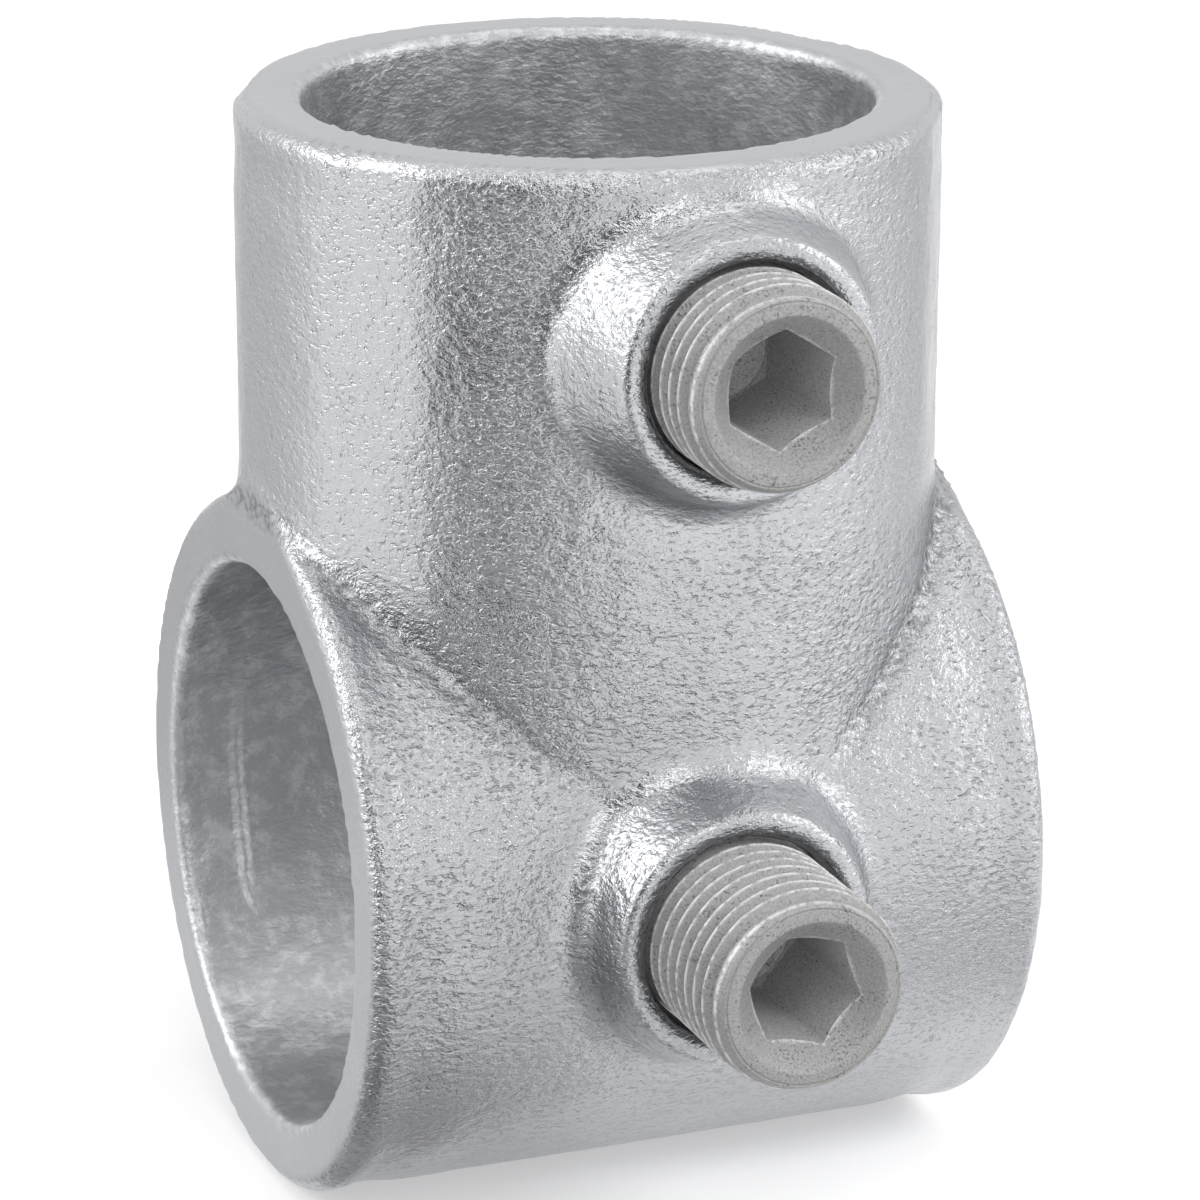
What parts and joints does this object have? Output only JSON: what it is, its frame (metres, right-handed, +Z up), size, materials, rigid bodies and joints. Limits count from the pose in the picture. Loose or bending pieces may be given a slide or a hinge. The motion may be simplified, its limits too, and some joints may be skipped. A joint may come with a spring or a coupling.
{
  "type": "tube clamp tee fitting",
  "caption": "Cast tee fitting whose sleeve passes one tube and whose socket takes another at a right angle, each clamped by a set screw with a hexagon socket.",
  "frame": {"origin": "where the axis of the through sleeve crosses the axis of the socket, at the middle of the sleeve", "axes": "+X along the sleeve, +Z up the socket, -Y towards both set screws"},
  "size_m": [0.0454, 0.0593, 0.0704],
  "materials": {
    "galvanised_iron": "hot-dip galvanised, finely pebbled, bright to grey",
    "plated_steel": "pale matt zinc plating"
  },
  "bodies": {
    "casting": {"cast_tee": "galvanised_iron"},
    "upper_screw": {"upper_set_screw": "plated_steel"},
    "lower_screw": {"lower_set_screw": "plated_steel"}
  },
  "joints": [
    {"name": "upper_screw_travel", "type": "slide", "parent": "casting", "child": "upper_screw", "axis": [0, 1, 0], "range_m": [-0.0058, 0.0051]},
    {"name": "lower_screw_travel", "type": "slide", "parent": "casting", "child": "lower_screw", "axis": [0, 1, 0], "range_m": [-0.00125, 0.00965]}
  ]
}
